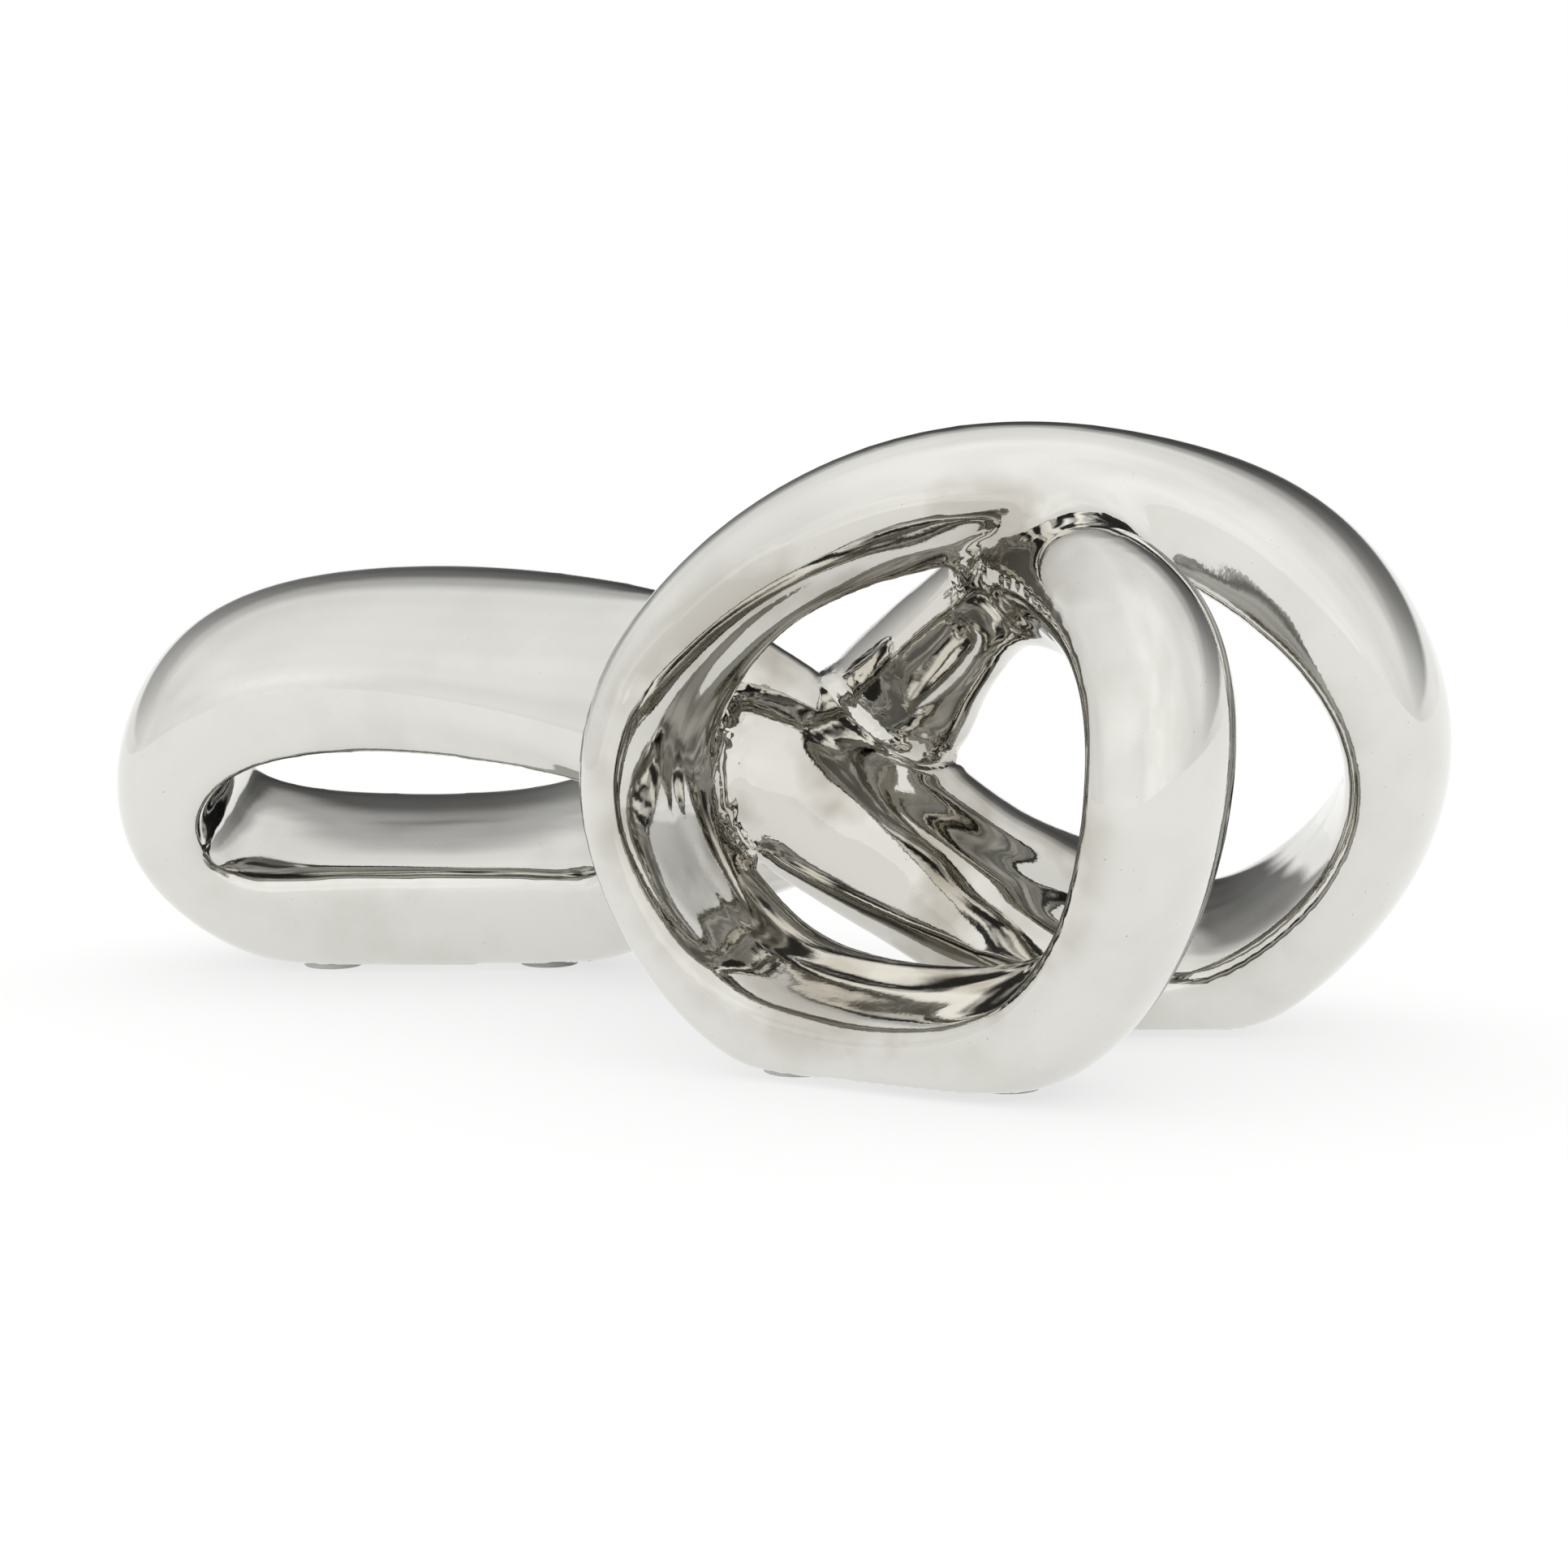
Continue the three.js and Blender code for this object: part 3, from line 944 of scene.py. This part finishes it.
    def lute(self, piece: bpy.types.Object, skin: bpy.types.Object) -> None:
        """Merges the strands, fills their joints with clay and wipes the other walls smooth.

        Args:
            piece: the band, which still runs through itself.
            skin: the band as it was laid, which the walls away from the joints keep to.
        """
        apply_modifier(piece, "merge", "REMESH", mode="VOXEL", voxel_size=self.voxel * MM)
        smooth(piece, "ease_steps", self.step_easing)
        points = coordinates(piece)
        joint = self.joint_share(piece, self.joint_width)
        near = self.felt(points, self.flushes, self.flush_gain)
        flush = near * self.joint_share(piece, self.flush_width)
        write_group(piece, JOINT, joint)
        write_group(piece, FLUSH, flush)
        write_group(piece, WALL, 1 - np.maximum(joint, flush))
        smooth(piece, "fill_joints", self.joint_filling, JOINT)
        smooth(piece, "fill_flush", self.flush_filling, FLUSH)
        apply_modifier(piece, "true_walls", "SHRINKWRAP", target=skin, wrap_method="NEAREST_SURFACEPOINT",
                       vertex_group=WALL)
        smooth(piece, "wipe", self.wiping)
        log.info("ceramic_band: %d faces after luting", len(piece.data.polygons))

    def felt(self, points: np.ndarray, touches: Sequence[Touch], gain: float) -> np.ndarray:
        """Returns the strongest of some touches at each point, from 0 to 1."""
        return np.maximum.reduce([touch.share(points, self.shift, gain) for touch in touches])

    def joint_share(self, piece: bpy.types.Object, width: float) -> np.ndarray:
        """Tells how near each point of the mesh lies to a crease between two strands.

        Args:
            piece: the merged band.
            width: how far from the crease a point still counts as near.

        Returns:
            A share from 0 to 1 for each point.
        """
        points = coordinates(piece)
        normals = np.empty(len(piece.data.vertices) * 3)
        piece.data.vertex_normals.foreach_get("vector", normals)
        normals = normals.reshape(-1, 3)
        one, two = edge_ends(piece)
        run = points[two] - points[one]
        bend = np.sum(run * (normals[one] - normals[two]), axis=1) / np.sum(run * run, axis=1)
        crease = np.zeros(len(points))
        for end in (one, two):
            np.maximum.at(crease, end, bend)
        share = np.clip(crease * MM * self.crease_radius - 1, 0.0, 1.0)
        for _ in range(round(width / self.voxel)):
            wider = share.copy()
            np.maximum.at(wider, one, share[two])
            np.maximum.at(wider, two, share[one])
            share = wider
        return eased(piece, share, self.joint_easing)

    def hand_work_and_shade(self) -> np.ndarray:
        """Returns how much hand work the clay had at each laid point, from 0 to 1, which also sets the
        glaze's painted shade.
        """
        stations = self.stations()
        place = np.repeat(np.arange(self.rings) * len(stations) / self.rings, self.sides)
        nearest = np.round(place).astype(int) % len(stations)
        inward = np.array([s.opening.value for s in stations])[nearest]
        waves_and_shade = np.array([s.wave_and_shade for s in stations])[nearest]
        facing = np.tile(np.cos(self.side_angles()), self.rings) * inward
        work = np.where(facing > self.inner_facing, waves_and_shade, self.outer_wave_and_shade)
        for first, last in (self.under_arch, self.behind_front):
            inside = np.minimum(place - first, last - place) / self.blend + 0.5
            work = np.maximum(work, np.clip(inside, 0.0, 1.0))
        return work

    def band_place(self, laid: np.ndarray) -> np.ndarray:
        """Tells where each laid point lies on the band, in the same way all round it.

        Args:
            laid: the laid points, ring after ring, in metres.

        Returns:
            For each point its way round, as a point on a circle, and its way across.
        """
        rings = laid.reshape(self.rings, self.sides, 3)
        centres = rings.mean(axis=1)
        steps = np.linalg.norm(np.roll(centres, -1, axis=0) - centres, axis=1)
        way = 2 * np.pi * np.cumsum(steps) / steps.sum()
        radius = steps.sum() / (2 * np.pi)
        quarter = self.sides // 4
        over = rings[:, quarter] - rings[:, -quarter]
        over /= np.linalg.norm(over, axis=1, keepdims=True)
        across = np.einsum("rsk,rk->rs", rings - centres[:, None], over)
        turned = np.stack([radius * np.cos(way), radius * np.sin(way)], axis=1)
        return np.hstack([np.repeat(turned, self.sides, axis=0), across.reshape(-1, 1)])

    def mark_work(self, piece: bpy.types.Object, laid: np.ndarray) -> None:
        """Stores the hand work, which also sets the glaze's painted shade, the crinkles and the flow lines
        at the mesh's points.

        Args:
            piece: the luted band.
            laid: the points as they were laid, in metres.
        """
        work = self.hand_work_and_shade()
        places = self.band_place(laid)
        tree = KDTree(len(laid))
        for index, point in enumerate(laid):
            tree.insert(point, index)
        tree.balance()
        points = coordinates(piece)
        nearest = [[found[1] for found in tree.find_n(point, self.blended_points)] for point in points]
        worked_and_shaded = eased(piece, np.array([work[found].mean() for found in nearest]), self.mark_easing)
        place = eased(piece, np.array([places[found].mean(axis=0) for found in nearest]), self.mark_easing)
        crinkled = self.felt(points, self.pinches, self.pinch_gain)
        for name, values in ((WORK_AND_SHADE, worked_and_shaded), (CRINKLE, crinkled)):
            piece.data.attributes.new(name, "FLOAT", "POINT").data.foreach_set("value", values)
        flow = np.array([noise.noise(Vector(spot)) for spot in place * self.flow_cycles])
        write_group(piece, SWELL, worked_and_shaded)
        write_group(piece, FLOW, np.clip(worked_and_shaded ** self.flow_fade * (self.flow_middle + flow), 0.0, 1.0))

    def swell_walls(self, piece: bpy.types.Object) -> None:
        """Raises flow lines and gentle swells on the hand-worked walls, as wet clay has them."""
        cloud = bpy.data.textures.new("clay_swell", "CLOUDS")
        cloud.noise_scale = self.swell_length * MM
        cloud.noise_depth = 1
        apply_modifier(piece, "flow", "DISPLACE", strength=self.flow * MM, mid_level=0.0, vertex_group=FLOW)
        apply_modifier(piece, "swell", "DISPLACE", texture=cloud, texture_coords="LOCAL",
                       strength=self.swell * MM, mid_level=self.swell_middle, vertex_group=SWELL)
        bpy.data.textures.remove(cloud)

    def settle(self, piece: bpy.types.Object) -> None:
        """Presses the flats true again, so that the pads seat on them."""
        points = coordinates(piece)
        floor = self.table_to_flat * MM
        low = points[:, 2] < floor + self.pressing * MM
        points[low, 2] = floor
        set_coordinates(piece, points)

    def vent(self, piece: bpy.types.Object) -> None:
        """Bores the vent in the front loop's flat."""
        deselect_all()
        centre = Vector((FRONT.foot[0] + self.shift[0], FRONT.foot[1] + self.shift[1], self.table_to_flat))
        bpy.ops.mesh.primitive_cylinder_add(vertices=self.vent_sides, radius=self.vent_diameter / 2 * MM,
                                            depth=2 * self.vent_depth * MM, location=centre * MM)
        bore = bpy.context.active_object
        apply_modifier(piece, "vent", "BOOLEAN", operation="DIFFERENCE", object=bore, solver="FAST")
        remove(bore)

    def dress(self, piece: bpy.types.Object) -> None:
        """Gives the ceramic its mirror glaze."""
        piece.data.materials.append(self.glaze.material())


@dataclass
class BumperPads:
    """Round adhesive bumper pads with their film, one under each end of every flat."""

    names: tuple[str, ...] = ("front_pad_left", "front_pad_right", "left_pad_left",
                              "left_pad_right", "right_pad_left", "right_pad_right")
    vinyl: PadVinyl = field(default_factory=PadVinyl)
    adhesive: AdhesiveFilm = field(default_factory=AdhesiveFilm)
    diameter: float = 16.0
    thickness: float = 1.8
    lower_round: float = 0.35
    upper_round: float = 0.35 / 3
    round_steps: int = 4
    film: float = 0.26
    film_gap: float = 0.02
    film_inset: float = 0.4
    sides: int = 96
    sharp_angle: float = 35.0
    tolerance: float = 0.001

    def disc(self, name: str, centre: Vector, radius: float, height: float) -> bpy.types.Object:
        """Adds a disc standing on its centre point's level.

        Args:
            name: the piece's name.
            centre: the middle of its lower face, in metres.
            radius: its radius in metres.
            height: its height in metres.

        Returns:
            The disc.
        """
        deselect_all()
        bpy.ops.mesh.primitive_cylinder_add(vertices=self.sides, radius=radius, depth=height,
                                            location=centre + Vector((0, 0, height / 2)))
        piece = bpy.context.active_object
        piece.name = piece.data.name = name
        bpy.ops.object.transform_apply(location=True, rotation=True, scale=True)
        return piece

    def pad_with_film(self, name: str) -> tuple[bpy.types.Object, bpy.types.Object]:
        """Builds one pad where its solid stands, with the film above it.

        Args:
            name: the solid's name.

        Returns:
            The pad and its film.
        """
        low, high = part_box(name)
        centre = Vector(((low[0] + high[0]) / 2, (low[1] + high[1]) / 2, low[2]))
        radius = self.diameter / 2
        pad = self.disc(name + "_soft", centre, radius * MM, self.thickness * MM)
        self.round_edges(pad, centre.z)
        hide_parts(name)
        film_level = centre + Vector((0, 0, (self.thickness + self.film_gap) * MM))
        film = self.disc(name + "_film", film_level, (radius - self.film_inset) * MM, self.film * MM)
        for piece, finish in ((pad, self.vinyl), (film, self.adhesive)):
            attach(piece, "root")
            select_only(piece)
            bpy.ops.object.shade_smooth_by_angle(angle=math.radians(self.sharp_angle))
        return pad, film

    def build(self) -> list[tuple[bpy.types.Object, bpy.types.Object]]:
        """Returns every pad with its film, newly built."""
        return [self.pad_with_film(name) for name in self.names]

    def round_edges(self, pad: bpy.types.Object, level: float) -> None:
        """Rounds the pad's lower rim fully and its upper rim a little.

        Args:
            pad: the pad's disc.
            level: the height of its lower face, in metres.
        """
        near = self.tolerance * MM
        rims = ((level, self.lower_round), (level + self.thickness * MM, self.upper_round))
        bpy.ops.object.mode_set(mode="EDIT")
        bpy.ops.mesh.select_mode(type="EDGE")
        for height, width in rims:
            bpy.ops.mesh.select_all(action="DESELECT")
            bpy.ops.object.mode_set(mode="OBJECT")
            for edge in pad.data.edges:
                edge.select = all(abs(pad.data.vertices[v].co.z - height) < near for v in edge.vertices)
            bpy.ops.object.mode_set(mode="EDIT")
            bpy.ops.mesh.bevel(offset=width * MM, segments=self.round_steps, affect="EDGES")
        bpy.ops.object.mode_set(mode="OBJECT")

    def dress(self, pads: list[tuple[bpy.types.Object, bpy.types.Object]]) -> None:
        """Gives the pads their vinyl and the films their adhesive.

        Args:
            pads: the pads, each with its film.
        """
        vinyl, adhesive = self.vinyl.material(), self.adhesive.material()
        for pad, film in pads:
            pad.data.materials.append(vinyl)
            film.data.materials.append(adhesive)


@dataclass(frozen=True)
class RoomTone:
    """The room's brightness at an angle over the top, from the front horizon to the back one."""

    degrees: float
    tone: float


@dataclass
class Studio:
    """Plain white sweep in a soft-lit room, and the camera at the photograph's angle."""

    # The camera
    camera_place: tuple[float, float, float] = (7.84, -834.75, 171.35)
    pitch: float = 7.58
    focal_pixels: float = 4165.0
    sensor: float = 36.0
    clip: tuple[float, float] = (0.02, 50.0)

    # The floor: its matt colour, and how much white shows through to the camera and in reflections
    floor_side: float = 30.0
    floor_colour: tuple[float, float, float, float] = (0.88, 0.88, 0.87, 1.0)
    floor_rough: float = 0.9
    floor_ior: float = 1.4
    floor_share: float = 0.72
    floor_share_mirrored: float = 0.8

    # The floor as a reflection in a reflection shows it: patches of dark and pale
    floor_bounces: float = 1.5
    floor_grain: Grain = Grain(11.0, 1.0, 0.5)
    floor_pale: float = 0.6
    floor_stops: tuple[float, float] = (0.44, 0.62)

    # The room: its light, its tones over the top, and the even tone at its sides
    fill: float = 1.25
    tones: tuple[RoomTone, ...] = (
        RoomTone(0, 1.12),
        RoomTone(80, 1.1),
        RoomTone(105, 0.98),
        RoomTone(124, 0.88),
        RoomTone(136, 0.46),
        RoomTone(147, 0.1),
        RoomTone(158, 0.06),
        RoomTone(168, 0.1),
        RoomTone(173, 1.0),
    )
    side_tone: float = 0.9
    left_reach: float = 1.5
    right_reach: float = 4.0
    patch_grain: Grain = Grain(2.3, 1.0, 0.4)
    patchiness: float = 0.16

    # The room as a reflection in a reflection shows it: dark cards and bright gaps
    room_bounces: float = 2.5
    card_grain: Grain = Grain(2.2, 2.0, 0.5)
    deep_dark: tuple[float, float, float] = (0.04, 0.036, 0.03)
    deep_bright: float = 1.4
    deep_stops: tuple[float, float] = (0.47, 0.58)

    def camera(self) -> None:
        """Adds the camera that frames the photograph's square."""
        deselect_all()
        bpy.ops.object.camera_add(location=[v * MM for v in self.camera_place],
                                  rotation=(math.radians(90 - self.pitch), 0, 0))
        camera = bpy.context.active_object
        camera.name = "photo_camera"
        camera.data.sensor_width = self.sensor
        camera.data.lens = self.focal_pixels / PHOTO_SIDE * self.sensor
        camera.data.clip_start, camera.data.clip_end = self.clip
        bpy.context.scene.camera = camera

    def floor(self) -> None:
        """Adds the pale floor, which shows near white and keeps the soft shadow."""
        deselect_all()
        bpy.ops.mesh.primitive_plane_add(size=self.floor_side)
        floor = bpy.context.active_object
        floor.name = "floor"
        sheet = NodeSheet("pale_floor")
        matt = sheet.principled(metallic=0.0, ior=self.floor_ior)
        matt.inputs["Base Color"].default_value = self.floor_colour
        matt.inputs["Roughness"].default_value = self.floor_rough
        matt.inputs["Specular IOR Level"].default_value = 0.0
        path = sheet.node("ShaderNodeLightPath").outputs
        later = sheet.maths("GREATER_THAN", path["Ray Depth"], self.floor_bounces)
        cloudy = sheet.noise(sheet.object_place(), self.floor_grain)
        patches = sheet.mask(cloudy, self.floor_stops, self.floor_pale)
        white = sheet.node("ShaderNodeEmission")
        sheet.link(sheet.mix_colour(sheet.times(later, path["Is Glossy Ray"]), (1, 1, 1), patches),
                   white.inputs["Color"])
        seen = sheet.times(path["Is Camera Ray"], self.floor_share)
        mirrored = sheet.times(path["Is Glossy Ray"], self.floor_share_mirrored)
        mixed = sheet.mix_shader(sheet.maths("MAXIMUM", seen, mirrored), matt.outputs[0], white.outputs[0])
        sheet.link(mixed, sheet.output.inputs["Surface"])
        floor.data.materials.append(sheet.material)

    def toned(self, sheet: NodeSheet, y: bpy.types.NodeSocket,
              z: bpy.types.NodeSocket) -> bpy.types.NodeSocket:
        """Reads the room's tones by the angle over the top.

        Args:
            sheet: the world's sheet.
            y: the direction's part towards the back.
            z: the direction's part upwards.

        Returns:
            The tone as a colour.
        """
        over = sheet.maths("ARCTAN2", z, sheet.times(y, -1.0))
        turn = sheet.maths("DIVIDE", sheet.maths("MAXIMUM", over, 0.0), math.pi)
        ramp = sheet.node("ShaderNodeValToRGB")
        elements = ramp.color_ramp.elements
        elements.remove(elements[-1])
        elements[0].color = (*[self.tones[0].tone] * 3, 1.0)
        for stop in self.tones[1:]:
            elements.new(stop.degrees / 180).color = (*[stop.tone] * 3, 1.0)
        ramp.color_ramp.interpolation = "EASE"
        sheet.link(turn, ramp.inputs[0])
        return ramp.outputs[0]

    def mirrored_room(self, sheet: NodeSheet) -> bpy.types.NodeSocket:
        """Paints the room by direction: bright in front, dark high behind, with a white backdrop.

        Args:
            sheet: the world's sheet.

        Returns:
            The room's colour.
        """
        way = sheet.node("ShaderNodeTexCoord").outputs["Generated"]
        parts = sheet.node("ShaderNodeSeparateXYZ")
        sheet.link(way, parts.inputs[0])
        x, y, z = parts.outputs
        left = sheet.maths("POWER", sheet.maths("MAXIMUM", sheet.times(x, -1.0), 0.0), self.left_reach)
        right = sheet.maths("POWER", sheet.maths("MAXIMUM", x, 0.0), self.right_reach)
        sided = sheet.mix_colour(sheet.add(left, right), self.toned(sheet, y, z), [self.side_tone] * 3)
        patches = sheet.noise(way, self.patch_grain)
        patched = sheet.scale(sided, sheet.spread(patches, 1 - self.patchiness, 1 + self.patchiness))
        depth = sheet.node("ShaderNodeLightPath").outputs["Ray Depth"]
        later = sheet.maths("GREATER_THAN", depth, self.room_bounces)
        cards = sheet.ramp(sheet.noise(way, self.card_grain), self.deep_stops,
                           (self.deep_dark, [self.deep_bright] * 3))
        return sheet.mix_colour(later, patched, sheet.scale(patched, cards))

    def background(self, sheet: NodeSheet, colour: Colour) -> bpy.types.NodeSocket:
        """Adds a background shader.

        Args:
            sheet: the world's sheet.
            colour: its colour, a socket or three numbers.

        Returns:
            The shader.
        """
        made = sheet.node("ShaderNodeBackground")
        if isinstance(colour, bpy.types.NodeSocket):
            sheet.link(colour, made.inputs["Color"])
        else:
            made.inputs["Color"].default_value = (*colour, 1.0)
        return made.outputs[0]

    def room(self) -> None:
        """Sets the room: plain soft light, its mirror image in the glaze, and white to the camera."""
        sheet = NodeSheet("studio_room", world=True)
        bpy.context.scene.world = sheet.material
        path = sheet.node("ShaderNodeLightPath").outputs
        mirrored = self.background(sheet, self.mirrored_room(sheet))
        fill = self.background(sheet, [self.fill] * 3)
        white = self.background(sheet, [1.0] * 3)
        lit = sheet.mix_shader(path["Is Glossy Ray"], fill, mirrored)
        shown = sheet.mix_shader(path["Is Camera Ray"], lit, white)
        sheet.link(shown, sheet.output.inputs["Surface"])

    def build(self) -> None:
        """Builds the whole studio."""
        self.camera()
        self.floor()
        self.room()
        bpy.context.scene.view_settings.view_transform = "Standard"
        log.info("studio ready")


def main() -> None:
    """Builds the sculpture and its studio in order."""
    logging.basicConfig(level=logging.INFO, format="%(name)s: %(message)s")
    band = CeramicBand()
    ceramic = band.build()
    band.dress(ceramic)
    log.info("%s: %d faces", ceramic.name, len(ceramic.data.polygons))
    bumpers = BumperPads()
    pads = bumpers.build()
    bumpers.dress(pads)
    for pad, film in pads:
        log.info("%s: %d faces, %s: %d faces", pad.name, len(pad.data.polygons),
                 film.name, len(film.data.polygons))
    Studio().build()


if __name__ == "__main__":
    main()
